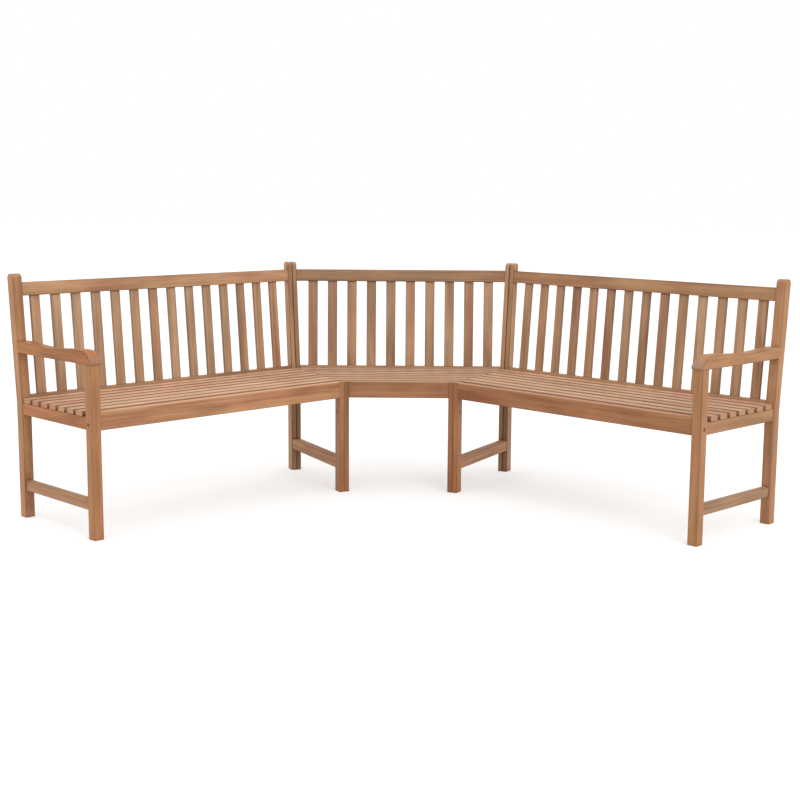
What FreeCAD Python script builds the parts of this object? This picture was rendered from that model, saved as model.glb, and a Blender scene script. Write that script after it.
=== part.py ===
import FreeCAD, Part
import math
import os

from FreeCAD import Placement, Rotation, Vector

# Garden corner bench: two wings at 45 degrees to a short corner module, all in solid
# timber. Millimetres and degrees, +Z up, floor at Z = 0, the sitter looks along -Y.

# Plan
WING_TURN = 45.0               # turn of each wing from the corner module
CORNER_FRAME_TURN = 28.0       # turn of the corner frames from front-to-back
CORNER_POST_SPACING = 916.0    # between the axes of the two rear corner posts
WING_LENGTH = 1294.0           # rear corner post axis to rear end post axis
FRAME_DEPTH = 470.0            # rear post axis to front leg axis, square to a wing

# Heights
POST_TOP = 900.0
SEAT_TOP = 449.0
BEND_DROP = 29.0               # the rear posts turn from upright to raked, below the seat
TOP_RAIL_DROP = 32.0           # top of the top rails, below the post tops
BACK_RAIL_RISE = 7.5           # top of the lower back rails, above the seat
ARM_CLEARANCE = 165.0          # seat to underside of the armrests
END_STRETCHER_BOTTOM = 101.5
CORNER_STRETCHER_BOTTOM = 93.0

# Rear posts and legs
RAKE = 4.7                     # lean of the wing backs
BEND_RADIUS = 300.0
END_LEG_WIDTH = 38.0           # along the wing
END_LEG_DEPTH = 40.0           # front to back
HALF_WIDTH = 21.0              # one half of a corner post or leg
CORNER_LEG_DEPTH = 46.0
POST_TOP_ROUND = 15.0
LEG_EASE = 2.5

# Backs
TOP_RAIL_HEIGHT = 50.0
BACK_RAIL_HEIGHT = 68.0
BACK_RAIL_THICKNESS = 28.0
CORNER_BACK_SHIFT = 5.0        # corner back, behind the post axes
BACK_SLAT_WIDTH = 40.0
BACK_SLAT_THICKNESS = 11.0
BACK_SLAT_EASE = 2.0
BACK_SLAT_HOUSING = 14.0       # depth of the slat ends in both rails
WING_BACK_SLATS = 14
WING_BACK_SLAT_START = 93.5    # first slat's middle, from the corner post axis
WING_BACK_SLAT_END = 74.5      # last slat's middle, from the end post axis
CORNER_BACK_SLATS = 10
CORNER_BACK_SLAT_START = 80.5  # outer slats' middles, from the corner post axes

# Seats
APRON_HEIGHT = 65.0
APRON_THICKNESS = 32.0
APRON_SETBACK = 2.0            # behind the front edge of the corner legs
SEAT_SLATS = 7
SEAT_SLAT_WIDTH = 41.0
SEAT_SLAT_THICKNESS = 18.0
SEAT_SLAT_REAR = 31.0          # rear slat's rear edge, in front of the post axis
SEAT_FRONT_GAP = 27.0          # front slat to apron, on the wings
SEAT_SEAM = 2.0                # open joint between mitred slat ends
SEAT_SLAT_EASE = 2.5
BEARER_HEIGHT = 45.0
BEARER_THICKNESS = 26.0
SIDE_RAIL_INSET = 3.0          # behind the outer face of the end legs
RAIL_EASE = 2.5

# Stretchers
END_STRETCHER_HEIGHT = 39.0
END_STRETCHER_THICKNESS = 26.0
CORNER_STRETCHER_HEIGHT = 44.0
HALF_STRETCHER_THICKNESS = 19.0

# Armrests
ARM_OUTER_OVERHANG = 4.0
ARM_INNER_OVERHANG = 8.0
ARM_NOSE_OVERHANG = 9.0        # in front of the leg
ARM_REAR_THICKNESS = 42.5
ARM_DIP_THICKNESS = 35.5       # at the bottom of the scoop
ARM_CREST_THICKNESS = 47.0     # behind the rolled nose
ARM_DIP_SETBACK = 299.0        # bottom of the scoop, behind the nose
ARM_NOSE_RADIUS = 70.0
ARM_NOSE_EASE = 6.0            # round under the nose
ARM_EASE = 3.0

# Joints
TENON_FIT = 0.2                # gap round a tenon or slat end in its mortise
TENON_SHOULDER = 8.0           # shoulder above and below a rail tenon
TENON_THICKNESS = 10.0
TENON_DEPTH = 20.0
HALF_TENON_DEPTH = 12.0        # into the half posts, half legs, aprons and back rails
BEARER_TENON_DEPTH = 8.0       # short, to pass the rail and apron tenons

# Bolts and nuts
BOLT_DIAMETER = 8.0
BOLT_HEAD_DIAMETER = 13.0
BOLT_HEAD_HEIGHT = 5.0
BOLT_SINK = 6.5                # depth of the recess for a head or nut
BOLT_FIT = 0.4                 # gap round bolts, heads and nuts
NUT_WIDTH = 13.0               # square nuts
NUT_THICKNESS = 5.0
FRAME_BOLT_DROP = 60.5         # below the lower back rails
APRON_BOLT_DROP = 42.0         # below the seat top
APRON_BOLT_GRIP = 54.0         # nut pocket, from the end of the apron

X_AXIS = Vector(1, 0, 0)
Y_AXIS = Vector(0, 1, 0)
Z_AXIS = Vector(0, 0, 1)
INWARD = Vector(-1, 0, 0)
PARALLEL = 0.9999              # cosine that counts as parallel
SAME = 0.01                    # lengths nearer than this count as equal

# A wing frame has x along the wing, y to its back; a corner frame has x across itself,
# outwards, y to its back. Both start on the right rear corner post's axis.
CORNER_X = CORNER_POST_SPACING / 2
WING = Placement(Vector(CORNER_X, 0, 0), Rotation(Z_AXIS, -WING_TURN))
CORNER_FRAME = Placement(Vector(CORNER_X, 0, 0), Rotation(Z_AXIS, -CORNER_FRAME_TURN))
WING_SKEW = math.radians(WING_TURN - CORNER_FRAME_TURN)
CORNER_SKEW = math.radians(CORNER_FRAME_TURN)
CORNER_FRAME_DEPTH = FRAME_DEPTH / math.cos(WING_SKEW)
CORNER_SCALE = math.cos(CORNER_SKEW) / math.cos(WING_SKEW)

# The backs of both modules lie in the planes through the raked posts
WING_LEAN = math.tan(math.radians(RAKE))
FRAME_LEAN = WING_LEAN / math.cos(WING_SKEW)
CORNER_LEAN = FRAME_LEAN * math.cos(CORNER_SKEW)

# Ranges of the main pieces
BEND_HEIGHT = SEAT_TOP - BEND_DROP
TOP_RAIL_TOP = POST_TOP - TOP_RAIL_DROP
BACK_RAIL_TOP = SEAT_TOP + BACK_RAIL_RISE
ARM_UNDERSIDE = SEAT_TOP + ARM_CLEARANCE
BEARER_TOP = SEAT_TOP - SEAT_SLAT_THICKNESS
BEARER_Z = (BEARER_TOP - BEARER_HEIGHT, BEARER_TOP)
APRON_Z = (SEAT_TOP - APRON_HEIGHT, SEAT_TOP)
BACK_RAIL_Z = (BACK_RAIL_TOP - BACK_RAIL_HEIGHT, BACK_RAIL_TOP)
END_STRETCHER_Z = (END_STRETCHER_BOTTOM, END_STRETCHER_BOTTOM + END_STRETCHER_HEIGHT)
CORNER_STRETCHER_Z = (CORNER_STRETCHER_BOTTOM, CORNER_STRETCHER_BOTTOM + CORNER_STRETCHER_HEIGHT)
HALF_TIP = HALF_WIDTH - HALF_TENON_DEPTH
END_X = (WING_LENGTH - END_LEG_WIDTH / 2, WING_LENGTH + END_LEG_WIDTH / 2)
END_TIP = END_X[0] + TENON_DEPTH
SIDE_RAIL_X = (END_X[1] - SIDE_RAIL_INSET - BEARER_THICKNESS, END_X[1] - SIDE_RAIL_INSET)
LONG = WING_LENGTH + CORNER_POST_SPACING


# Shared shapes

def grown(low_high, extra):
    return (low_high[0] - extra, low_high[1] + extra)


def around(middle, width):
    return (middle - width / 2, middle + width / 2)


def block(x_range, y_range, z_range):
    """Box between two values on each axis."""
    sides = [high - low for low, high in (x_range, y_range, z_range)]
    return Part.makeBox(*sides, Vector(x_range[0], y_range[0], z_range[0]))


def rod(start, direction, diameter, length):
    return Part.makeCylinder(diameter / 2, length, start, direction)


def edges_along(shape, direction):
    chosen = []
    for edge in shape.Edges:
        run = edge.Vertexes[-1].Point - edge.Vertexes[0].Point
        if run.Length > SAME and abs(run.normalize().dot(direction)) > PARALLEL:
            chosen.append(edge)
    return chosen


def edges_across(shape, direction):
    """Edges, straight or curved, whose ends lie in one plane square to a direction."""
    chosen = []
    for edge in shape.Edges:
        run = edge.Vertexes[-1].Point - edge.Vertexes[0].Point
        if abs(run.dot(direction)) < SAME:
            chosen.append(edge)
    return chosen


def bevelled(shape, direction, size):
    """Break the straight edges that run along a direction with a narrow flat."""
    return shape.makeChamfer(size, edges_along(shape, direction))


def joined(body, tongue):
    return body.fuse(tongue).removeSplitter()


def cut_all(shape, tools):
    return shape.cut(Part.makeCompound(tools))


def placed(shape, placement):
    return shape.transformed(placement.toMatrix(), True)


# Plan outlines that follow the corner frames

def wing_start(y, offset):
    """Wing x at a distance outwards from the corner frame's seam plane."""
    return -y * math.tan(WING_SKEW) + offset / math.cos(WING_SKEW)


def corner_end(y, offset):
    """Corner module x at a distance inwards from the corner frame's seam plane."""
    return CORNER_X + y * math.tan(CORNER_SKEW) - offset / math.cos(CORNER_SKEW)


def plan_bar(corners, z_range):
    points = [Vector(x, y, z_range[0]) for x, y in corners]
    face = Part.Face(Part.makePolygon(points + points[:1]))
    return face.extrude(Vector(0, 0, z_range[1] - z_range[0]))


def wing_bar(y_range, z_range, offset, x_end):
    """Bar along the wing, mitred to the corner frame, square at the far end."""
    front, back = y_range
    corners = [(wing_start(front, offset), front), (x_end, front),
               (x_end, back), (wing_start(back, offset), back)]
    return plan_bar(corners, z_range)


def corner_bar(y_range, z_range, offset):
    """Bar across the corner module, mitred at both ends."""
    front, back = y_range
    corners = [(-corner_end(front, offset), front), (corner_end(front, offset), front),
               (corner_end(back, offset), back), (-corner_end(back, offset), back)]
    return plan_bar(corners, z_range)


# Posts and legs

def raked_side(y, lean):
    """One side of a rear post's outline: upright, a soft bend, then raked."""
    angle = math.atan(lean)
    start = Vector(0, y, BEND_HEIGHT - BEND_RADIUS * math.tan(angle / 2))

    def on_bend(turn):
        return start + Vector(0, BEND_RADIUS * (1 - math.cos(turn)), BEND_RADIUS * math.sin(turn))

    top = Vector(0, y + (POST_TOP - BEND_HEIGHT) * lean, POST_TOP)
    edges = [Part.makeLine(Vector(0, y, 0), start),
             Part.Arc(start, on_bend(angle / 2), on_bend(angle)).toShape(),
             Part.makeLine(on_bend(angle), top)]
    return edges, top


def raked_post(x_range, depth, lean):
    """Rear post with a rounded top and bevelled edges."""
    front, back = around(0, depth)
    front_edges, front_top = raked_side(front, lean)
    back_edges, back_top = raked_side(back, lean)
    outline = front_edges + [Part.makeLine(front_top, back_top)] + back_edges[::-1]
    outline.append(Part.makeLine(Vector(0, back, 0), Vector(0, front, 0)))
    body = Part.Face(Part.Wire(outline)).extrude(Vector(x_range[1] - x_range[0], 0, 0))
    body.translate(Vector(x_range[0], 0, 0))
    top_edges = [edge for edge in edges_along(body, X_AXIS) if edge.BoundBox.ZMin > BEND_HEIGHT]
    body = body.makeFillet(POST_TOP_ROUND, top_edges)
    long_edges = [edge for edge in edges_across(body, X_AXIS) if edge.BoundBox.ZMax > SAME]
    return body.makeChamfer(LEG_EASE, long_edges)


def leg(x_range, y_range, top):
    return bevelled(block(x_range, y_range, (0, top)), Z_AXIS, LEG_EASE)


# Rails with a tenon at each end. A tongue is both tenons as one thin bar right through
# the rail; grown by a gap it is also the cutter for the mortises.

def frame_tongue(x_range, y_range, z_range, depth, gap=0.0):
    return block(grown(around(sum(x_range) / 2, TENON_THICKNESS), gap),
                 grown(y_range, depth + gap),
                 grown(z_range, gap - TENON_SHOULDER))


def frame_rail(x_range, y_range, z_range, depth):
    body = bevelled(block(x_range, y_range, z_range), Y_AXIS, RAIL_EASE)
    return joined(body, frame_tongue(x_range, y_range, z_range, depth))


def tongue_section(y_range, z_range, gap):
    return (grown(around(sum(y_range) / 2, TENON_THICKNESS), gap),
            grown(z_range, gap - TENON_SHOULDER))


def wing_tongue(y_range, z_range, gap=0.0):
    return wing_bar(*tongue_section(y_range, z_range, gap), HALF_TIP - gap, END_TIP + gap)


def wing_rail(y_range, z_range):
    body = bevelled(wing_bar(y_range, z_range, HALF_WIDTH, END_X[0]), X_AXIS, RAIL_EASE)
    return joined(body, wing_tongue(y_range, z_range))


def corner_tongue(y_range, z_range, gap=0.0):
    return corner_bar(*tongue_section(y_range, z_range, gap), HALF_TIP - gap)


def corner_rail(y_range, z_range):
    body = bevelled(corner_bar(y_range, z_range, HALF_WIDTH), X_AXIS, RAIL_EASE)
    return joined(body, corner_tongue(y_range, z_range))


# Raked backs

def back_place(lean, shift):
    """Axes of a raked back: x along it, z up the slope, y square to it."""
    angle = math.degrees(math.atan(lean))
    return Placement(Vector(0, shift, BEND_HEIGHT), Rotation(X_AXIS, -angle))


def up_slope(height, lean):
    return (height - BEND_HEIGHT) / math.cos(math.atan(lean))


def top_rail_z(lean):
    top = up_slope(TOP_RAIL_TOP, lean)
    return (top - TOP_RAIL_HEIGHT, top)


def wing_bay(offset, x_end):
    return wing_bar((-FRAME_DEPTH, FRAME_DEPTH), (0, POST_TOP), offset, x_end)


def corner_bay(offset):
    return corner_bar((-FRAME_DEPTH, FRAME_DEPTH), (0, POST_TOP), offset)


def top_tongue(lean, shift, bay, gap=0.0):
    section = tongue_section((0, 0), top_rail_z(lean), gap)
    return placed(block((-LONG, LONG), *section), back_place(lean, shift)).common(bay)


def top_rail(lean, shift, bay, tongue_bay):
    body = block((-LONG, LONG), around(0, BACK_RAIL_THICKNESS), top_rail_z(lean))
    body = placed(bevelled(body, X_AXIS, RAIL_EASE), back_place(lean, shift))
    return joined(body.common(bay), top_tongue(lean, shift, tongue_bay))


def back_slat(x, lean, gap=0.0):
    """Upright slat, full width into both rails, in the axes of its back."""
    low = up_slope(BACK_RAIL_TOP, lean) - BACK_SLAT_HOUSING
    high = top_rail_z(lean)[0] + BACK_SLAT_HOUSING
    return block(grown(around(x, BACK_SLAT_WIDTH), gap),
                 grown(around(0, BACK_SLAT_THICKNESS), gap), grown((low, high), gap))


def back_slats(middles, lean, shift):
    slats = [bevelled(back_slat(x, lean), Z_AXIS, BACK_SLAT_EASE) for x in middles]
    return placed(Part.makeCompound(slats), back_place(lean, shift))


def back_slat_mortises(middles, lean, shift):
    mortises = [back_slat(x, lean, TENON_FIT) for x in middles]
    return placed(Part.makeCompound(mortises), back_place(lean, shift))


def spread(first, last, count):
    return [first + k * (last - first) / (count - 1) for k in range(count)]


# Bolts and square nuts; a seat is the point where the head or nut bears

def bolt(seat, direction, length):
    head = rod(seat, direction * -1, BOLT_HEAD_DIAMETER, BOLT_HEAD_HEIGHT)
    return joined(head, rod(seat, direction, BOLT_DIAMETER, length))


def bolt_hole(seat, direction, length):
    """Bore for the shank, and the recess for the head behind the seat."""
    recess = rod(seat, direction * -1, BOLT_HEAD_DIAMETER + 2 * BOLT_FIT, BOLT_SINK)
    bore = rod(seat, direction, BOLT_DIAMETER + 2 * BOLT_FIT, length + BOLT_FIT)
    return joined(recess, bore)


def nut_block(seat, length, gap=0.0):
    """Square block from a seat along -x, as a nut or as its pocket."""
    return block((seat.x - length, seat.x), grown(around(seat.y, NUT_WIDTH), gap),
                 grown(around(seat.z, NUT_WIDTH), gap))


# Aprons: their front faces lie behind the front corners of the half legs

def apron_y(skew):
    leg_front = -CORNER_FRAME_DEPTH - CORNER_LEG_DEPTH / 2
    front = HALF_WIDTH * math.sin(skew) + leg_front * math.cos(skew) + APRON_SETBACK
    return (front, front + APRON_THICKNESS)


WING_APRON_Y = apron_y(WING_SKEW)
CORNER_APRON_Y = apron_y(CORNER_SKEW)
WING_BACK_Y = around(0, BACK_RAIL_THICKNESS)
CORNER_BACK_Y = around(CORNER_BACK_SHIFT, BACK_RAIL_THICKNESS)

# Wing back
wing_slat_x = spread(WING_BACK_SLAT_START, WING_LENGTH - WING_BACK_SLAT_END, WING_BACK_SLATS)
wing_slat_mortises = back_slat_mortises(wing_slat_x, WING_LEAN, 0)
wing_top_rail = top_rail(WING_LEAN, 0, wing_bay(HALF_WIDTH, END_X[0]), wing_bay(HALF_TIP, END_TIP))
wing_top_rail = wing_top_rail.cut(wing_slat_mortises)
wing_back_rail = wing_rail(WING_BACK_Y, BACK_RAIL_Z).cut(wing_slat_mortises)
wing_mortise_bay = wing_bay(HALF_TIP - TENON_FIT, END_TIP + TENON_FIT)
wing_back_mortises = [top_tongue(WING_LEAN, 0, wing_mortise_bay, TENON_FIT),
                      wing_tongue(WING_BACK_Y, BACK_RAIL_Z, TENON_FIT)]

# Wing seat: apron, middle bearer and slats
wing_bearer = (around(WING_LENGTH / 2, BEARER_THICKNESS), (WING_APRON_Y[1], WING_BACK_Y[0]), BEARER_Z)
wing_bearer_mortises = frame_tongue(*wing_bearer, HALF_TENON_DEPTH, TENON_FIT)
wing_apron = wing_rail(WING_APRON_Y, APRON_Z).cut(wing_bearer_mortises)
wing_back_rail = wing_back_rail.cut(wing_bearer_mortises)
wing_apron_mortises = wing_tongue(WING_APRON_Y, APRON_Z, TENON_FIT)

slat_rears = spread(-SEAT_SLAT_REAR, WING_APRON_Y[1] + SEAT_FRONT_GAP + SEAT_SLAT_WIDTH, SEAT_SLATS)
wing_seat = []
for rear in slat_rears:
    slat = wing_bar((rear - SEAT_SLAT_WIDTH, rear), (BEARER_TOP, SEAT_TOP), SEAT_SEAM / 2, SIDE_RAIL_X[1])
    wing_seat.append(bevelled(slat, X_AXIS, SEAT_SLAT_EASE))

# End frame: rear post, front leg, side rail and stretcher
front_leg_y = around(-FRAME_DEPTH, END_LEG_DEPTH)
frame_gap_y = (front_leg_y[1], -END_LEG_DEPTH / 2)
side_rail = (SIDE_RAIL_X, frame_gap_y, BEARER_Z)
end_stretcher = (around(WING_LENGTH, END_STRETCHER_THICKNESS), frame_gap_y, END_STRETCHER_Z)
end_mortises = [frame_tongue(*side_rail, BEARER_TENON_DEPTH, TENON_FIT),
                frame_tongue(*end_stretcher, TENON_DEPTH, TENON_FIT)]
end_post = cut_all(raked_post(END_X, END_LEG_DEPTH, WING_LEAN), end_mortises + wing_back_mortises)
end_leg = cut_all(leg(END_X, front_leg_y, ARM_UNDERSIDE), end_mortises + [wing_apron_mortises])


# Armrest: scooped top, rolled nose, tenoned into the post and sitting on the leg's tenon

def post_front(z):
    """y of the end post's front face at a height above the bend."""
    return (z - BEND_HEIGHT) * WING_LEAN - END_LEG_DEPTH / 2


def sway(start, end):
    """Two equal arcs in an S, level at both ends."""
    run = end - start
    slope = math.atan2(abs(run.z), abs(run.y))
    radius = run.Length / (4 * math.sin(slope))
    level = math.copysign(radius * math.sin(slope), run.y)
    rise = math.copysign(radius * (1 - math.cos(slope)), run.z)
    bulge = Vector(0, level, rise)
    middle = (start + end) / 2
    return [Part.Arc(start, start + bulge, middle).toShape(),
            Part.Arc(middle, end - bulge, end).toShape()]


def arm_outline():
    nose = front_leg_y[0] - ARM_NOSE_OVERHANG
    low = ARM_UNDERSIDE
    rear_z = low + ARM_REAR_THICKNESS
    crest_z = low + ARM_CREST_THICKNESS
    roll_turn = math.acos(1 - ARM_CREST_THICKNESS / ARM_NOSE_RADIUS)
    crest_y = nose + ARM_NOSE_RADIUS * math.sin(roll_turn)

    def on_roll(turn):
        return Vector(0, crest_y - ARM_NOSE_RADIUS * math.sin(turn),
                      crest_z - ARM_NOSE_RADIUS * (1 - math.cos(turn)))

    rear_low = Vector(0, post_front(low), low)
    rear_top = Vector(0, post_front(rear_z), rear_z)
    dip = Vector(0, nose + ARM_DIP_SETBACK, low + ARM_DIP_THICKNESS)
    return Part.Wire([
        Part.makeLine(rear_low, rear_top),
        *sway(rear_top, dip),
        *sway(dip, on_roll(0)),
        Part.Arc(on_roll(0), on_roll(roll_turn / 2), on_roll(roll_turn)).toShape(),
        Part.makeLine(on_roll(roll_turn), rear_low),
    ])


def arm_tenon(gap=0.0):
    """Tenon of the armrest into the rear post."""
    height = ARM_UNDERSIDE + ARM_REAR_THICKNESS / 2
    face = post_front(height)
    return block(grown(around(WING_LENGTH, TENON_THICKNESS), gap),
                 grown((face - TENON_DEPTH, face + TENON_DEPTH), gap),
                 grown(around(height, ARM_REAR_THICKNESS - 2 * TENON_SHOULDER), gap))


def leg_tenon(gap=0.0):
    """Tenon of the front leg up into the armrest."""
    return block(grown(around(WING_LENGTH, TENON_THICKNESS), gap),
                 grown(around(-FRAME_DEPTH, END_LEG_DEPTH - 2 * TENON_SHOULDER), gap),
                 grown((ARM_UNDERSIDE - TENON_DEPTH, ARM_UNDERSIDE + TENON_DEPTH), gap))


arm_x = (END_X[0] - ARM_INNER_OVERHANG, END_X[1] + ARM_OUTER_OVERHANG)
armrest = Part.Face(arm_outline()).extrude(Vector(arm_x[1] - arm_x[0], 0, 0))
armrest.translate(Vector(arm_x[0], 0, 0))
nose_edge = min(edges_along(armrest, X_AXIS), key=lambda edge: edge.BoundBox.YMin)
armrest = armrest.makeFillet(ARM_NOSE_EASE, [nose_edge])
arm_rear = post_front(ARM_UNDERSIDE) - SAME
arm_edges = [edge for edge in edges_across(armrest, X_AXIS) if edge.BoundBox.YMin < arm_rear]
armrest = joined(armrest.makeChamfer(ARM_EASE, arm_edges), arm_tenon()).cut(leg_tenon(TENON_FIT))
end_post = end_post.cut(arm_tenon(TENON_FIT))
end_leg = joined(end_leg, leg_tenon())

# Apron bolt through the end leg, with a square nut in a pocket behind the apron
apron_seat = Vector(END_X[1] - BOLT_SINK, sum(WING_APRON_Y) / 2, SEAT_TOP - APRON_BOLT_DROP)
apron_nut_seat = Vector(END_X[0] - APRON_BOLT_GRIP, apron_seat.y, apron_seat.z)
apron_bolt_length = apron_seat.x - apron_nut_seat.x + 2 * NUT_THICKNESS
apron_bolt = bolt(apron_seat, INWARD, apron_bolt_length)
apron_bolt_hole = bolt_hole(apron_seat, INWARD, apron_bolt_length)
apron_nut = nut_block(apron_nut_seat, NUT_THICKNESS).cut(apron_bolt_hole)
nut_pocket = nut_block(apron_nut_seat, NUT_THICKNESS + BOLT_FIT, BOLT_FIT)
nut_pocket = nut_pocket.fuse(nut_pocket.translated(Vector(0, APRON_THICKNESS / 2, 0)))
end_leg = end_leg.cut(apron_bolt_hole)
wing_apron = cut_all(wing_apron, [apron_bolt_hole, nut_pocket])

# Corner module, in the bench's own axes
corner_slat_end = CORNER_X - CORNER_BACK_SLAT_START
corner_slat_x = spread(-corner_slat_end, corner_slat_end, CORNER_BACK_SLATS)
corner_slat_mortises = back_slat_mortises(corner_slat_x, CORNER_LEAN, CORNER_BACK_SHIFT)
corner_top_rail = top_rail(CORNER_LEAN, CORNER_BACK_SHIFT, corner_bay(HALF_WIDTH), corner_bay(HALF_TIP))
corner_top_rail = corner_top_rail.cut(corner_slat_mortises)
corner_back_rail = corner_rail(CORNER_BACK_Y, BACK_RAIL_Z).cut(corner_slat_mortises)

corner_bearer = (around(0, BEARER_THICKNESS), (CORNER_APRON_Y[1], CORNER_BACK_Y[0]), BEARER_Z)
corner_bearer_mortises = frame_tongue(*corner_bearer, HALF_TENON_DEPTH, TENON_FIT)
corner_apron = corner_rail(CORNER_APRON_Y, APRON_Z).cut(corner_bearer_mortises)
corner_back_rail = corner_back_rail.cut(corner_bearer_mortises)

corner_seat = []
for rear in slat_rears:
    slat_y = ((rear - SEAT_SLAT_WIDTH) * CORNER_SCALE, rear * CORNER_SCALE)
    slat = corner_bar(slat_y, (BEARER_TOP, SEAT_TOP), SEAT_SEAM / 2)
    corner_seat.append(bevelled(slat, X_AXIS, SEAT_SLAT_EASE))

# Bolts that hold the two halves of a corner frame together, in the corner frame's axes
frame_bolts = []
frame_nuts = []
frame_bolt_tools = []
frame_bolt_length = 2 * (HALF_WIDTH - BOLT_SINK) + NUT_THICKNESS
for y in (0, -CORNER_FRAME_DEPTH):
    bolt_seat = Vector(HALF_WIDTH - BOLT_SINK, y, BACK_RAIL_Z[0] - FRAME_BOLT_DROP)
    nut_seat = Vector(BOLT_SINK - HALF_WIDTH, y, bolt_seat.z)
    hole = bolt_hole(bolt_seat, INWARD, frame_bolt_length)
    frame_bolts.append(bolt(bolt_seat, INWARD, frame_bolt_length))
    frame_nuts.append(nut_block(nut_seat, NUT_THICKNESS).cut(hole))
    frame_bolt_tools += [hole, nut_block(nut_seat, BOLT_SINK, BOLT_FIT)]

# Corner frame halves, in the bench's own axes: the wing's half and the corner's half
corner_leg_y = around(-CORNER_FRAME_DEPTH, CORNER_LEG_DEPTH)
corner_gap_y = (corner_leg_y[1], -CORNER_LEG_DEPTH / 2)
corner_mortise_bay = corner_bay(HALF_TIP - TENON_FIT)
wing_mortises = [placed(tool, WING) for tool in wing_back_mortises + [wing_apron_mortises]]
corner_mortises = [top_tongue(CORNER_LEAN, CORNER_BACK_SHIFT, corner_mortise_bay, TENON_FIT),
                   corner_tongue(CORNER_BACK_Y, BACK_RAIL_Z, TENON_FIT),
                   corner_tongue(CORNER_APRON_Y, APRON_Z, TENON_FIT)]


def half_frame(x_range, stretcher_x, rail_mortises):
    """Rear half post, front half leg, half bearer and half stretcher."""
    bearer = (x_range, corner_gap_y, BEARER_Z)
    stretcher = (stretcher_x, corner_gap_y, CORNER_STRETCHER_Z)
    tools = frame_bolt_tools + [frame_tongue(*bearer, BEARER_TENON_DEPTH, TENON_FIT),
                                frame_tongue(*stretcher, TENON_DEPTH, TENON_FIT)]
    post = cut_all(raked_post(x_range, CORNER_LEG_DEPTH, FRAME_LEAN), tools)
    front = cut_all(leg(x_range, corner_leg_y, SEAT_TOP), tools)
    return {
        "post": cut_all(placed(post, CORNER_FRAME), rail_mortises),
        "leg": cut_all(placed(front, CORNER_FRAME), rail_mortises),
        "bearer": placed(frame_rail(*bearer, BEARER_TENON_DEPTH), CORNER_FRAME),
        "stretcher": placed(frame_rail(*stretcher, TENON_DEPTH), CORNER_FRAME),
    }


wing_half = half_frame((0, HALF_WIDTH), (0, HALF_STRETCHER_THICKNESS), wing_mortises)
corner_half = half_frame((-HALF_WIDTH, 0), (-HALF_STRETCHER_THICKNESS, 0), corner_mortises)

# Nodes of the right side, then their mirror images on the left
wing_pieces = {
    "end_rear_post": end_post,
    "end_front_leg": end_leg,
    "armrest": armrest,
    "side_rail": frame_rail(*side_rail, BEARER_TENON_DEPTH),
    "end_stretcher": frame_rail(*end_stretcher, TENON_DEPTH),
    "wing_top_rail": wing_top_rail,
    "wing_back_rail": wing_back_rail,
    "wing_back_slats": back_slats(wing_slat_x, WING_LEAN, 0),
    "wing_apron": wing_apron,
    "wing_mid_bearer": frame_rail(*wing_bearer, HALF_TENON_DEPTH),
    "wing_seat_slats": Part.makeCompound(wing_seat),
    "apron_bolt": apron_bolt,
    "apron_nut": apron_nut,
}
right = {name: placed(shape, WING) for name, shape in wing_pieces.items()}
right.update({"half_wing_" + name: shape for name, shape in wing_half.items()})
right.update({"half_corner_" + name: shape for name, shape in corner_half.items()})
right["frame_bolts"] = placed(Part.makeCompound(frame_bolts), CORNER_FRAME)
right["frame_nuts"] = placed(Part.makeCompound(frame_nuts), CORNER_FRAME)

nodes = {
    "corner_top_rail": corner_top_rail,
    "corner_back_rail": corner_back_rail,
    "corner_back_slats": back_slats(corner_slat_x, CORNER_LEAN, CORNER_BACK_SHIFT),
    "corner_apron": corner_apron,
    "corner_mid_bearer": frame_rail(*corner_bearer, HALF_TENON_DEPTH),
    "corner_seat_slats": Part.makeCompound(corner_seat),
}
for name, shape in right.items():
    nodes["right_" + name] = shape
    nodes["left_" + name] = shape.mirror(Vector(0, 0, 0), X_AXIS)

# Origin on the floor, under the middle of the whole bench
bounds = Part.makeCompound(list(nodes.values())).BoundBox
to_middle = Vector(0, -(bounds.YMin + bounds.YMax) / 2, 0)
os.makedirs("parts", exist_ok=True)
for name, shape in nodes.items():
    shape.translate(to_middle)
    shape.exportStep("parts/" + name + ".step")
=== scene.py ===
import math
import random

import bmesh
import bpy
from mathutils import Euler, Matrix, Vector


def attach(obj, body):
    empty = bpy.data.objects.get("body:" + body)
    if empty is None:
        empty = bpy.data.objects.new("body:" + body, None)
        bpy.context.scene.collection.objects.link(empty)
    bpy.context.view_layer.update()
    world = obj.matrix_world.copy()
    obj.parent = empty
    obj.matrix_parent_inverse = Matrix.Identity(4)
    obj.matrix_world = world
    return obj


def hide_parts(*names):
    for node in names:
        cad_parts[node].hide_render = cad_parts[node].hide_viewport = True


# Garden corner bench in sanded teak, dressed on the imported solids: a short corner module
# between two wings, a raked slatted back all round and an armrest at each end.
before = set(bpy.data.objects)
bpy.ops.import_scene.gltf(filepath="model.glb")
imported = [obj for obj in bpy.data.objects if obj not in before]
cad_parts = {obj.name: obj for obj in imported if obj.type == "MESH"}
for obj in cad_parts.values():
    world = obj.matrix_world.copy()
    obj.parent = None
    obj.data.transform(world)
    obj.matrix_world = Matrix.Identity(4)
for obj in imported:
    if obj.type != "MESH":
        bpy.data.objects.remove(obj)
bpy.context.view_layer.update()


# Posts and legs. Square-sawn teak, planed and sanded, edges broken with a plane. Each
# corner post or leg is two halves bolted side by side, with a V-groove where they meet.
WELD = 1e-6                            # metres, corners nearer than this are one corner
FLAT = math.radians(0.5)               # faces that meet at less than this are one face
CREASE = math.radians(20)              # edges sharper than this bound a board
ROUND_OVER = math.radians(55)          # edges blunter than this are shaded as rounded
EASED_WIDTH = 0.0045                   # metres, the widest flat planed on an edge
RIGHTWARDS = Vector((1, 0.1, 0.01))    # side to which the fibres of every board run
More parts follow.
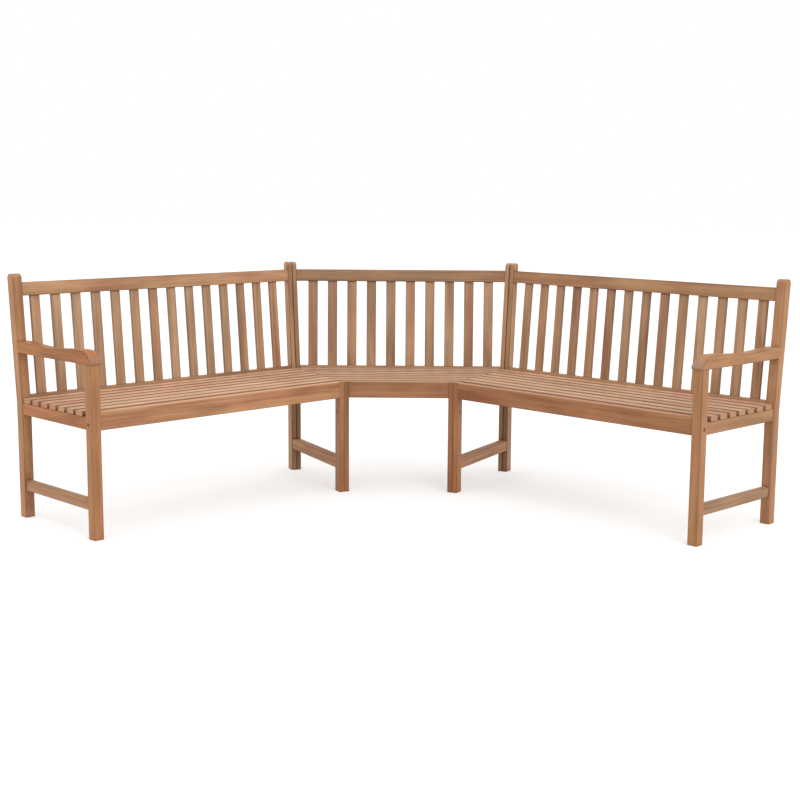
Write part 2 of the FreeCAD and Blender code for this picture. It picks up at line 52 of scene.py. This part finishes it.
LOG_LENGTH = 20.0                      # metres, anywhere along which a board was cut
HEART_REACH = (0.05, 0.14)             # metres from a board to the heart of its log
GRAIN_SLOPE = 0.012                    # most that the fibres run out of a board


def welded(node):
    """A node's solids with their split corners joined and their flat faces whole."""
    bm = bmesh.new()
    bm.from_mesh(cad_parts[node].data)
    bmesh.ops.remove_doubles(bm, verts=bm.verts, dist=WELD)
    bmesh.ops.dissolve_limit(bm, angle_limit=FLAT, verts=bm.verts, edges=bm.edges)
    return bm


def solids(bm):
    """Each separate solid of a mesh, as a list of its corners."""
    taken = set()
    for first in bm.verts:
        if first in taken:
            continue
        taken.add(first)
        group = [first]
        for vert in group:
            for edge in vert.link_edges:
                other = edge.other_vert(vert)
                if other not in taken:
                    taken.add(other)
                    group.append(other)
        yield group


def grain_axes(corners):
    """Unit vectors along the fibres, across the widest face, and out of that face."""
    faces = [face for vert in corners for face in vert.link_faces]
    edges = [edge for vert in corners for edge in vert.link_edges]
    creases = [edge for edge in edges if edge.calc_face_angle(0) > CREASE]
    longest = max(creases, key=lambda edge: edge.calc_length())
    along = (longest.verts[1].co - longest.verts[0].co).normalized()
    if along.dot(RIGHTWARDS) < 0:
        along.negate()
    widest = max(faces, key=lambda face: face.calc_area()).normal
    out = (widest - along * widest.dot(along)).normalized()
    return along, out.cross(along), out


def is_eased_edge(face):
    """True for the narrow flat planed along an edge between two wide faces."""
    edges = sorted(face.edges, key=lambda edge: edge.calc_length())
    if face.calc_area() > EASED_WIDTH * edges[-1].calc_length():
        return False
    return all(edge.calc_face_angle(0) > CREASE for edge in edges[-2:])


def stand_for(node, bm, kind, finish):
    """Makes a mesh the piece that stands for a node's plain solids."""
    mesh = bpy.data.meshes.new(node + kind)
    bm.to_mesh(mesh)
    bm.free()
    mesh.shade_smooth()
    mesh.set_sharp_from_angle(angle=ROUND_OVER)
    mesh.materials.append(finish)
    piece = bpy.data.objects.new(node + kind, mesh)
    bpy.context.scene.collection.objects.link(piece)
    soften = piece.modifiers.new("rounded edges", "WEIGHTED_NORMAL")
    soften.keep_sharp = True
    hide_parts(node)
    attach(piece, "root")


def dress(node, finish, slot, tone=0.0, warmth=0.0, wear_and_shade=0.8, side_shade=0.0, vary=0.0,
          sheen_and_bleach=0.0):
    """Boards that stand for a node. Every board keeps its own grain coordinates, measured
    from the heart of its log. Tone is how light the boards are and warmth how yellow and
    pale, both in steps; vary is their chance spread. The wear setting darkens eased edges
    and joints with painted shade, partly wear and dirt; side_shade paints shade on the
    narrow sides; the bleach setting pales the faces that look up with a painted sheen,
    partly sun-bleaching."""
    bm = welded(node)
    grain = bm.verts.layers.float_vector.new("grain")
    board = bm.verts.layers.float_vector.new("board")
    end = bm.loops.layers.float.new("end")
    side = bm.loops.layers.float.new("side")
    eased = bm.loops.layers.float.new("eased")
    sheen_and_bleached = bm.loops.layers.float.new("sheen_and_bleached")
    for face in bm.faces:
        for loop in face.loops:
            loop[eased] = is_eased_edge(face)
            # Faces that look up are paled: a painted sheen of the sky, partly sun-bleaching.
            loop[sheen_and_bleached] = max(face.normal.z, 0) * sheen_and_bleach
    chance = random.Random(node)
    for corners in solids(bm):
        axes = Matrix(grain_axes(corners))
        middle = sum((vert.co for vert in corners), Vector()) / len(corners)
        heart_turn = chance.uniform(0, math.tau)
        heart_reach = chance.uniform(*HEART_REACH)
        heart = Vector((chance.uniform(0, LOG_LENGTH), heart_reach * math.cos(heart_turn),
                        heart_reach * math.sin(heart_turn)))
        board_tone = tone + vary * chance.uniform(-1, 1)
        board_warmth = warmth + vary * chance.uniform(-1, 1)
        slope = chance.uniform(-GRAIN_SLOPE, GRAIN_SLOPE)
        for vert in corners:
            place = axes @ (vert.co - middle)
            place.y += place.x * slope
            vert[grain] = place + heart
            # The third number sets the painted shade, partly wear and dirt, on eased edges and
            # in joints.
            vert[board] = Vector((board_tone, board_warmth, wear_and_shade))
            for loop in vert.link_loops:
                loop[end] = abs(loop.face.normal.dot(axes[0]))
                # Painted shade on the narrow sides.
                loop[side] = abs(loop.face.normal.dot(axes[1])) * side_shade
    stand_for(node, bm, "_boards", finish)


class Shade:
    """A socket of a material; arithmetic on it adds Math nodes."""

    def __init__(self, tree, socket):
        self.tree = tree
        self.socket = socket

    def node(self, kind, settings=None, inputs=None, output=0):
        """Any node: its settings are set first, then the values or links of its sockets."""
        new = self.tree.nodes.new(kind)
        for name, value in (settings or {}).items():
            setattr(new, name, value)
        for name, value in (inputs or {}).items():
            if isinstance(value, Shade):
                value.feed(new.inputs[name])
            else:
                new.inputs[name].default_value = value
        return Shade(self.tree, new.outputs[output])

    def feed(self, socket):
        """Links this socket to the input that it drives."""
        self.tree.links.new(self.socket, socket)

    def maths(self, operation, *terms):
        """A Math node on up to three sockets or numbers."""
        return self.node("ShaderNodeMath", {"operation": operation}, dict(enumerate(terms)))

    def __add__(self, other):
        return self.maths("ADD", self, other)

    __radd__ = __add__

    def __sub__(self, other):
        return self.maths("SUBTRACT", self, other)

    def __rsub__(self, other):
        return self.maths("SUBTRACT", other, self)

    def __mul__(self, other):
        return self.maths("MULTIPLY", self, other)

    __rmul__ = __mul__

    def __pow__(self, other):
        return self.maths("POWER", self, other)

    def attribute(self, name, output):
        """What the mesh carries under a name."""
        return self.node("ShaderNodeAttribute", {"attribute_name": name}, output=output)

    def ramp(self, low, high):
        """0 below low, 1 above high, smooth between."""
        return self.node("ShaderNodeMapRange", {"interpolation_type": "SMOOTHSTEP"},
                         {"Value": self, "From Min": low, "From Max": high})

    def parts(self):
        """The three numbers of a vector."""
        split = self.node("ShaderNodeSeparateXYZ", {}, {0: self})
        return [Shade(self.tree, socket) for socket in split.socket.node.outputs]

    def noise(self, along, across):
        """Cloudy values from 0 to 1, with so many clouds in a metre, along and across."""
        places = self.node("ShaderNodeVectorMath", {"operation": "MULTIPLY"},
                           {0: self, 1: (along, across, across)})
        return self.node("ShaderNodeTexNoise", {}, {"Vector": places, "Scale": 1.0})

    def blend(self, first, second):
        """Mix of two colours, with this value as the share of the second."""
        return self.node("ShaderNodeMix", {"data_type": "RGBA"},
                         {"Factor": self, 6: first, 7: second}, output=2)


def new_finish(name):
    """An empty material, its surface shader and a first socket to build on."""
    finish = bpy.data.materials.new(name)
    finish.use_nodes = True
    tree = finish.node_tree
    surface = tree.nodes["Principled BSDF"]
    return finish, surface, Shade(tree, surface.outputs[0])


RING_PITCH = 0.0074                    # metres from one growth ring to the next
RING_STRAY = 0.020                     # metres that a ring wanders, in all
LATE_WOOD_POWER = 2                    # narrows the late wood to the edge of its ring
# Clouds of colour: so many in a metre along the fibres, and so many across them
RING_CLOUDS = (2.4, 14)
LATE_WOOD_CLOUDS = (2.2, 60)
FIBRE_CLOUDS = (7, 420)
PORE_CLOUDS = (45, 1500)
HEARTWOOD_CLOUDS = (2.0, 14)
PINK_CLOUDS = (4, 26)
CLOUD_MIDDLE = 0.5                     # mean value of a cloud, from 0 to 1
PORE_LIMITS = (0.60, 0.72)             # values between which pores set in
HEARTWOOD_LIMITS = (0.52, 0.72)
LATE_WOOD_SHARE = 0.34                 # shares of dark wood in the mix
FIBRE_SHARE = 0.35
BROWN_LAYERS = {                       # clouds, limits and share of dark wood
    "streaks": ((2.0, 55), (0.36, 0.66), 0.32),
    "mottle": ((5, 18), (0.30, 0.70), 0.34),
    "lines": ((3.0, 150), (0.55, 0.75), 0.16),
}
HEARTWOOD_RED = (0.200, 0.068, 0.026, 1)
HEARTWOOD_SHARE = 0.4
# Colour of tops: a painted sheen of the sky, partly sun-bleaching.
SHEEN_AND_BLEACHED_WOOD = (0.660, 0.385, 0.237, 1)
OIL_AND_SHADE_DARKNESS = 0.4                     # darkest colour beside dark dry wood: oil-soaked pores, and painted shade
PORE_SHADE = 0.25                      # shares of the darkest colour: oil in the pores, painted shade on eased edges and in joints, partly wear and dirt
EASED_SHADE = 0.45
GRIME_AND_SHADE_SHARE = 0.75
GRIME_AND_SHADE_REACH = 0.009                    # metres, width of the painted shade, partly dirt, in a joint or recess
GRIME_AND_SHADE_LIMITS = (0.18, 0.50)            # how much is shut in, from unshaded to darkest
GRIME_AND_SHADE_SAMPLES = 8                      # rays cast to see how far a spot is shut in
SAWN_LIMITS = (0.45, 0.80)             # how squarely a sawn end cuts the fibres
SAWN_RINGS = 0.35                      # shares of dark wood in a sawn end
SAWN_FIBRES = 0.30
TONE_STEP = 0.06                       # change of brightness in one step of tone
SAME_HUE = 0.5                         # hue setting that changes nothing
WARM_HUE = 0.004                       # change of hue in one step of warmth
WARM_PALING = 0.05                     # loss of colour in one step of warmth
PINK_HUE = 0.028                       # spread of hue from pink patches to yellow ones
RELIEF = 0.0005                        # metres from the pores to the raised fibres
RELIEF_STRENGTH = 0.25
FIBRE_HEIGHT = 0.5                     # shares of the relief
LATE_WOOD_HEIGHT = 0.25
PORE_DEPTH = 0.8
FIBRE_DULLNESS = 0.16                  # roughness added by open fibres and by sawn ends
SAWN_DULLNESS = 0.30
TEAK_SHINE = 0.35                      # specular level of dry oiled wood


def teak(name, light, dark, end_grain, dullness=0.46):
    """Sanded teak: growth rings round the heart of the log, brown streaks along the fibres,
    fine pores, sawn ends, painted shade, partly wear and dirt, on eased edges and in the
    joints, painted shade on some sides, and tops paled by a painted sheen that is partly
    sun-bleaching."""
    finish, surface, start = new_finish(name)
    grain = start.attribute("grain", "Vector")
    tone, warmth, wear_and_shade = start.attribute("board", "Vector").parts()
    ends = start.attribute("end", "Fac").ramp(*SAWN_LIMITS)
    planed = start.attribute("eased", "Fac")
    sides = start.attribute("side", "Fac")
    sheened_tops = start.attribute("sheen_and_bleached", "Fac")
    # Painted shade, partly dirt in the joints: joints, creases and recesses darken where ambient
    # occlusion finds a spot shut in.
    openness = start.node("ShaderNodeAmbientOcclusion", {"samples": GRIME_AND_SHADE_SAMPLES},
                          {"Distance": GRIME_AND_SHADE_REACH}, "AO")
    grime_and_shade = (1 - openness).ramp(*GRIME_AND_SHADE_LIMITS) * wear_and_shade

    across, out = grain.parts()[1:]
    stray = (grain.noise(*RING_CLOUDS) - CLOUD_MIDDLE) * RING_STRAY
    turns = ((across * across + out * out) ** 0.5 + stray) * (math.tau / RING_PITCH)
    rings = turns.maths("SINE", turns) * 0.5 + 0.5
    late_wood = rings ** LATE_WOOD_POWER * grain.noise(*LATE_WOOD_CLOUDS)
    fibres = grain.noise(*FIBRE_CLOUDS)
    pores = grain.noise(*PORE_CLOUDS).ramp(*PORE_LIMITS)
    heartwood = grain.noise(*HEARTWOOD_CLOUDS).ramp(*HEARTWOOD_LIMITS)
    dark_share = late_wood * LATE_WOOD_SHARE + (fibres - CLOUD_MIDDLE) * FIBRE_SHARE
    for clouds, limits, share in BROWN_LAYERS.values():
        dark_share = dark_share + grain.noise(*clouds).ramp(*limits) * share

    # The darkest colour: oil in the pores, and painted shade on eased edges, narrow sides and in
    # joints.
    oil_and_shade_dark = [value * OIL_AND_SHADE_DARKNESS for value in dark[:3]] + [1]
    face = dark_share.blend(light, dark)
    face = (heartwood * HEARTWOOD_SHARE).blend(face, HEARTWOOD_RED)
    face = (pores * PORE_SHADE).blend(face, oil_and_shade_dark)
    # Painted shade on eased edges, partly wear.
    face = (planed * wear_and_shade * EASED_SHADE).blend(face, oil_and_shade_dark)
    # Painted shade on the narrow sides of a board.
    face = sides.blend(face, oil_and_shade_dark)
    # Tops paled by a painted sheen of the sky, partly sun-bleaching.
    face = sheened_tops.blend(face, SHEEN_AND_BLEACHED_WOOD)
    sawn = (rings * SAWN_RINGS + fibres * SAWN_FIBRES).blend(end_grain, dark)
    # Painted shade, partly dirt, in joints and recesses.
    wood = (grime_and_shade * GRIME_AND_SHADE_SHARE).blend(ends.blend(face, sawn), oil_and_shade_dark)
    pink = (grain.noise(*PINK_CLOUDS) - CLOUD_MIDDLE) * PINK_HUE
    wood = start.node("ShaderNodeHueSaturation", {}, {
        "Hue": warmth * WARM_HUE - pink + SAME_HUE,
        "Saturation": 1 - warmth * WARM_PALING,
        "Value": tone * TONE_STEP + 1,
        "Color": wood})
    wood.feed(surface.inputs["Base Color"])

    height = fibres * FIBRE_HEIGHT + late_wood * LATE_WOOD_HEIGHT - pores * PORE_DEPTH
    bump = start.node("ShaderNodeBump", {}, {
        "Strength": RELIEF_STRENGTH, "Distance": RELIEF, "Height": height})
    bump.feed(surface.inputs["Normal"])
    roughness = fibres * FIBRE_DULLNESS + ends * SAWN_DULLNESS + dullness
    roughness.feed(surface.inputs["Roughness"])
    surface.inputs["Specular IOR Level"].default_value = TEAK_SHINE
    return finish


FRAME_TEAK = teak("frame_teak", light=(0.555, 0.272, 0.125, 1), dark=(0.268, 0.111, 0.043, 1),
                  end_grain=(0.440, 0.275, 0.190, 1))
POST_LOOKS = {                         # tone, warmth, wear with painted shade, and painted side shade of each
    "left_end_rear_post": (1.0, 0.5, 0.8, 0.05),
    "left_end_front_leg": (-0.5, -0.5, 0.8, 0.05),
    "left_half_wing_post": (2.2, 1.9, 1.3, 0.15),
    "left_half_corner_post": (2.2, 1.9, 1.3, 0.4),
    "left_half_wing_leg": (-0.7, -0.5, 0.3, 0.2),
    "left_half_corner_leg": (-1.5, -0.7, 0.3, 0.33),
    "right_end_rear_post": (0.2, 0.5, 0.8, 0.0),
    "right_end_front_leg": (-1.2, -0.3, 0.8, 0.0),
    "right_half_wing_post": (1.4, 1.8, 1.3, 0.35),
    "right_half_corner_post": (1.4, 1.8, 1.3, 0.15),
    "right_half_wing_leg": (0.8, -1.0, 0.3, 0.25),
    "right_half_corner_leg": (-0.4, -1.0, 0.3, 0.33),
}
for node, looks in POST_LOOKS.items():
    dress(node, FRAME_TEAK, "teak_frame", *looks)


# Stretchers, side rails and seat bearers. Teak bars tenoned between the posts and legs of
# each frame; the bearers run out of sight under the seat slats.
BAR_LOOKS = {                          # tone and warmth of each
    "left_end_stretcher": (0.1, 1.1),
    "left_half_wing_stretcher": (3.2, 0.3),
    "left_half_corner_stretcher": (3.2, 0.3),
    "right_end_stretcher": (-2.0, 1.8),
    "right_half_wing_stretcher": (3.0, 0.8),
    "right_half_corner_stretcher": (3.0, 0.8),
}
BEARER_NAMES = ("left_half_wing_bearer", "left_half_corner_bearer", "left_wing_mid_bearer",
                "right_half_wing_bearer", "right_half_corner_bearer", "right_wing_mid_bearer",
                "corner_mid_bearer")
SIDE_RAIL_LOOKS = {                    # tone and warmth of each
    "left_side_rail": (0.2, -1.8),
    "right_side_rail": (-1.7, 0.4),
}
for node, looks in BAR_LOOKS.items():
    dress(node, FRAME_TEAK, "teak_frame", *looks)
for node in BEARER_NAMES:
    dress(node, FRAME_TEAK, "teak_frame")
for node, looks in SIDE_RAIL_LOOKS.items():
    dress(node, FRAME_TEAK, "teak_rail", *looks)


# Long rails. Teak aprons along the seat's front edge, paled on top like the seat by a painted
# sheen that is partly sun-bleaching, lower back rails and raked top rails, all tenoned into
# the posts and legs. Those ends that meet the corner frames are cut to their angle.
RAIL_TEAK = teak("rail_teak", light=(0.560, 0.290, 0.145, 1), dark=(0.270, 0.120, 0.052, 1),
                 end_grain=(0.300, 0.150, 0.078, 1))
RAIL_LOOKS = {                         # tone and warmth of each
    "left_wing_top_rail": (2.4, 1.3),
    "corner_top_rail": (-3.5, 1.5),
    "right_wing_top_rail": (-1.0, 0.6),
    "left_wing_back_rail": (2.0, 1.0),
    "corner_back_rail": (2.0, 1.0),
    "right_wing_back_rail": (2.0, 1.0),
}
APRON_LOOKS = {                        # tone, warmth and painted sheen, partly bleaching, of each
    "left_wing_apron": (2.2, -0.4, 0.60),
    "corner_apron": (-3.8, -1.1, 0.75),
    "right_wing_apron": (-3.4, -1.8, 0.75),
}
for node, looks in RAIL_LOOKS.items():
    dress(node, RAIL_TEAK, "teak_rail", *looks)
for node, (tone, warmth, sheen_and_bleach) in APRON_LOOKS.items():
    dress(node, RAIL_TEAK, "teak_rail", tone, warmth, sheen_and_bleach=sheen_and_bleach)


# Back slats. Thin upright teak strips, eased along their edges, no two of quite the same
# colour, and let into both back rails.
BACK_TEAK = teak("back_slat_teak", light=(0.560, 0.320, 0.180, 1), dark=(0.270, 0.135, 0.066, 1),
                 end_grain=(0.300, 0.150, 0.078, 1))
BACK_LOOKS = {                         # tone and warmth of each
    "left_wing_back_slats": (0.8, 1.1),
    "corner_back_slats": (-1.1, 0.8),
    "right_wing_back_slats": (0.3, 1.0),
}
for node, looks in BACK_LOOKS.items():
    # Their narrow sides get painted shade.
    dress(node, BACK_TEAK, "teak_back", *looks, side_shade=0.25, vary=1.0)


# Seat slats. Flat teak boards, laid on the bearers with gaps for rain; the corner's boards
# meet those of the wings in mitres. Sanded smoothest of all.
SEAT_TEAK = teak("seat_slat_teak", light=(0.660, 0.385, 0.237, 1), dark=(0.363, 0.182, 0.097, 1),
                 end_grain=(0.500, 0.268, 0.152, 1))
SEAT_LOOKS = {                         # tone and warmth of each
    "left_wing_seat_slats": (2.8, 0.0),
    "corner_seat_slats": (0.3, 0.1),
    "right_wing_seat_slats": (1.5, 0.3),
}
for node, looks in SEAT_LOOKS.items():
    # Painted shade on the narrow sides darkens the gaps between boards.
    dress(node, SEAT_TEAK, "teak_seat", *looks, side_shade=0.6, vary=1.0)


# Armrests. Scooped on top and rounded at the nose, each shaped from one piece of teak,
# tenoned into the rear post and resting on the front leg.
ARM_TEAK = teak("armrest_teak", light=(0.530, 0.252, 0.096, 1), dark=(0.260, 0.105, 0.033, 1),
                end_grain=(0.440, 0.275, 0.190, 1), dullness=0.36)
ARM_LOOKS = {                          # tone and warmth of each
    "left_armrest": (-1.2, -1.8),
    "right_armrest": (-0.5, 0.2),
}
for node, looks in ARM_LOOKS.items():
    dress(node, ARM_TEAK, "teak_arm", *looks)


# Bolts and nuts. Plated steel: round heads with a hexagon socket, sunk in the legs where
# they pull the aprons and the halves of the corner frames tight, and square nuts.
STEEL_COLOUR = (0.28, 0.165, 0.08, 1)
STEEL_DULLNESS = 0.25                  # roughness of clean steel
SCUFFS = (400, 400)                    # scuffs in a metre, each way
SCUFF_DULLNESS = 0.25                  # roughness added by the scuffs
SOCKET_SIDES = 6
SOCKET_WIDTH = 0.005                   # metres across the flats
SOCKET_DEPTH = 0.0035                  # metres
SIDES = ("left_", "right_")
BOLT_NAMES = ("apron_bolt", "frame_bolts")
NUT_NAMES = ("apron_nut", "frame_nuts")


def plated_steel():
    """Steel with a dull bronze plating, a little scuffed."""
    finish, surface, start = new_finish("plated_steel")
    scuffs = start.node("ShaderNodeTexCoord", output="Object").noise(*SCUFFS)
    roughness = scuffs * SCUFF_DULLNESS + STEEL_DULLNESS
    roughness.feed(surface.inputs["Roughness"])
    surface.inputs["Base Color"].default_value = STEEL_COLOUR
    surface.inputs["Metallic"].default_value = 1.0
    return finish


def cut_socket(bm, corners):
    """Sinks a hexagon socket in the head of a bolt, which is its widest flat end."""
    faces = [face for vert in corners for face in vert.link_faces]
    ends = [face for face in faces if len(face.verts) > SOCKET_SIDES]
    head = max(ends, key=lambda face: face.calc_area())
    middle = head.calc_center_median()
    inward = -head.normal
    corner_reach = SOCKET_WIDTH / 2 / math.cos(math.pi / SOCKET_SIDES)
    spoke = (head.verts[0].co - middle).normalized() * corner_reach
    rim = []
    bottom = []
    for corner in range(SOCKET_SIDES):
        turn = Matrix.Rotation(corner * math.tau / SOCKET_SIDES, 3, inward)
        place = middle + turn @ spoke
        rim.append(bm.verts.new(place))
        bottom.append(bm.verts.new(place + inward * SOCKET_DEPTH))
    loops = list(head.edges)
    bmesh.ops.delete(bm, geom=[head], context="FACES_ONLY")
    for corner in range(SOCKET_SIDES):
        loops.append(bm.edges.new((rim[corner - 1], rim[corner])))
        bm.faces.new((rim[corner - 1], rim[corner], bottom[corner], bottom[corner - 1]))
    bm.faces.new(bottom)
    bmesh.ops.bridge_loops(bm, edges=loops)
    bmesh.ops.recalc_face_normals(bm, faces=bm.faces)


PLATED_STEEL = plated_steel()
for side in SIDES:
    for name in BOLT_NAMES:
        bolts = welded(side + name)
        for corners in list(solids(bolts)):
            cut_socket(bolts, corners)
        stand_for(side + name, bolts, "_socketed", PLATED_STEEL)
    for name in NUT_NAMES:
        stand_for(side + name, welded(side + name), "_plated", PLATED_STEEL)


# Floor and light. A plain pale floor that keeps the bench's soft shadow, a soft sky that is
# brightest overhead, a large lamp at the front right and a small one near the left end.
FLOOR_REACH = 40.0                     # metres from the middle to each side
FLOOR_CORNERS = ((-1, -1), (1, -1), (1, 1), (-1, 1))
FLOOR_GREY = (0.62, 0.62, 0.62, 1)
FLOOR_LIFT = 0.45                      # white added where the floor is looked at
SKY_WHITE = (1, 1, 1, 1)
SKY_LOW = 0.30                         # sky at the horizon
SKY_RISE = 1.20                        # added towards the zenith
LAMP_AIM = Vector((0, 0, 0.4))
LAMPS = {                              # place, width in metres, watts
    "main_lamp": (Vector((4.2, -6.4, 4.6)), 4.0, 190.0),
    "end_lamp": (Vector((-3.4, -2.8, 1.8)), 1.6, 15.0),
}


def looked_at(start):
    """1 where the camera looks, also in a reflection or through glass, and 0 for light."""
    rays = start.node("ShaderNodeLightPath").socket.node.outputs
    seen = Shade(start.tree, rays["Is Camera Ray"])
    for kind in ("Is Glossy Ray", "Is Transmission Ray"):
        seen = seen.maths("MAXIMUM", seen, Shade(start.tree, rays[kind]))
    return seen


floor_mesh = bpy.data.meshes.new("floor")
floor_places = [(x * FLOOR_REACH, y * FLOOR_REACH, 0) for x, y in FLOOR_CORNERS]
floor_mesh.from_pydata(floor_places, [], [(0, 1, 2, 3)])
floor = bpy.data.objects.new("floor", floor_mesh)
bpy.context.scene.collection.objects.link(floor)
floor_finish, floor_surface, floor_start = new_finish("floor_white")
floor_surface.inputs["Base Color"].default_value = FLOOR_GREY
floor_surface.inputs["Roughness"].default_value = 1.0
floor_surface.inputs["Specular IOR Level"].default_value = 0.0
floor_surface.inputs["Emission Strength"].default_value = 1.0
floor_glow = looked_at(floor_start) * FLOOR_LIFT
floor_glow.feed(floor_surface.inputs["Emission Color"])
floor_mesh.materials.append(floor_finish)

world = bpy.data.worlds.new("studio")
bpy.context.scene.world = world
world.use_nodes = True
sky = world.node_tree.nodes["Background"]
sky.inputs["Color"].default_value = SKY_WHITE
sky_start = Shade(world.node_tree, sky.outputs[0])
up = sky_start.node("ShaderNodeTexCoord").parts()[2]
daylight = up.maths("MAXIMUM", up, 0.0) * SKY_RISE + SKY_LOW
sky_strength = looked_at(sky_start) * (1 - daylight) + daylight
sky_strength.feed(sky.inputs["Strength"])

for name, (place, width, watts) in LAMPS.items():
    lamp_data = bpy.data.lights.new(name, "AREA")
    lamp_data.size = width
    lamp_data.energy = watts
    lamp = bpy.data.objects.new(name, lamp_data)
    lamp.location = place
    lamp.rotation_euler = (LAMP_AIM - place).to_track_quat("-Z", "Y").to_euler()
    bpy.context.scene.collection.objects.link(lamp)


# Camera. It stands where it was fitted to the photograph, 1.2 m above the floor, and looks
# slightly down at the bench.
CAMERA_PLACE = Vector((0.0675, -5.3186, 1.2245))
CAMERA_LENS = 62.22                    # millimetres
CAMERA_SENSOR = 36.0                   # millimetres
CAMERA_HEADING = math.radians(0.648)   # turn to the left
CAMERA_PITCH = math.radians(8.795)     # look down
CAMERA_ROLL = math.radians(0.369)

camera_data = bpy.data.cameras.new("camera")
camera_data.lens = CAMERA_LENS
camera_data.sensor_width = CAMERA_SENSOR
camera = bpy.data.objects.new("camera", camera_data)
look = Euler((math.pi / 2 - CAMERA_PITCH, 0, CAMERA_HEADING)).to_matrix()
look = look @ Matrix.Rotation(CAMERA_ROLL, 3, "Z")
camera.matrix_world = Matrix.Translation(CAMERA_PLACE) @ look.to_4x4()
bpy.context.scene.collection.objects.link(camera)
bpy.context.scene.camera = camera
bpy.context.scene.view_settings.view_transform = "Standard"
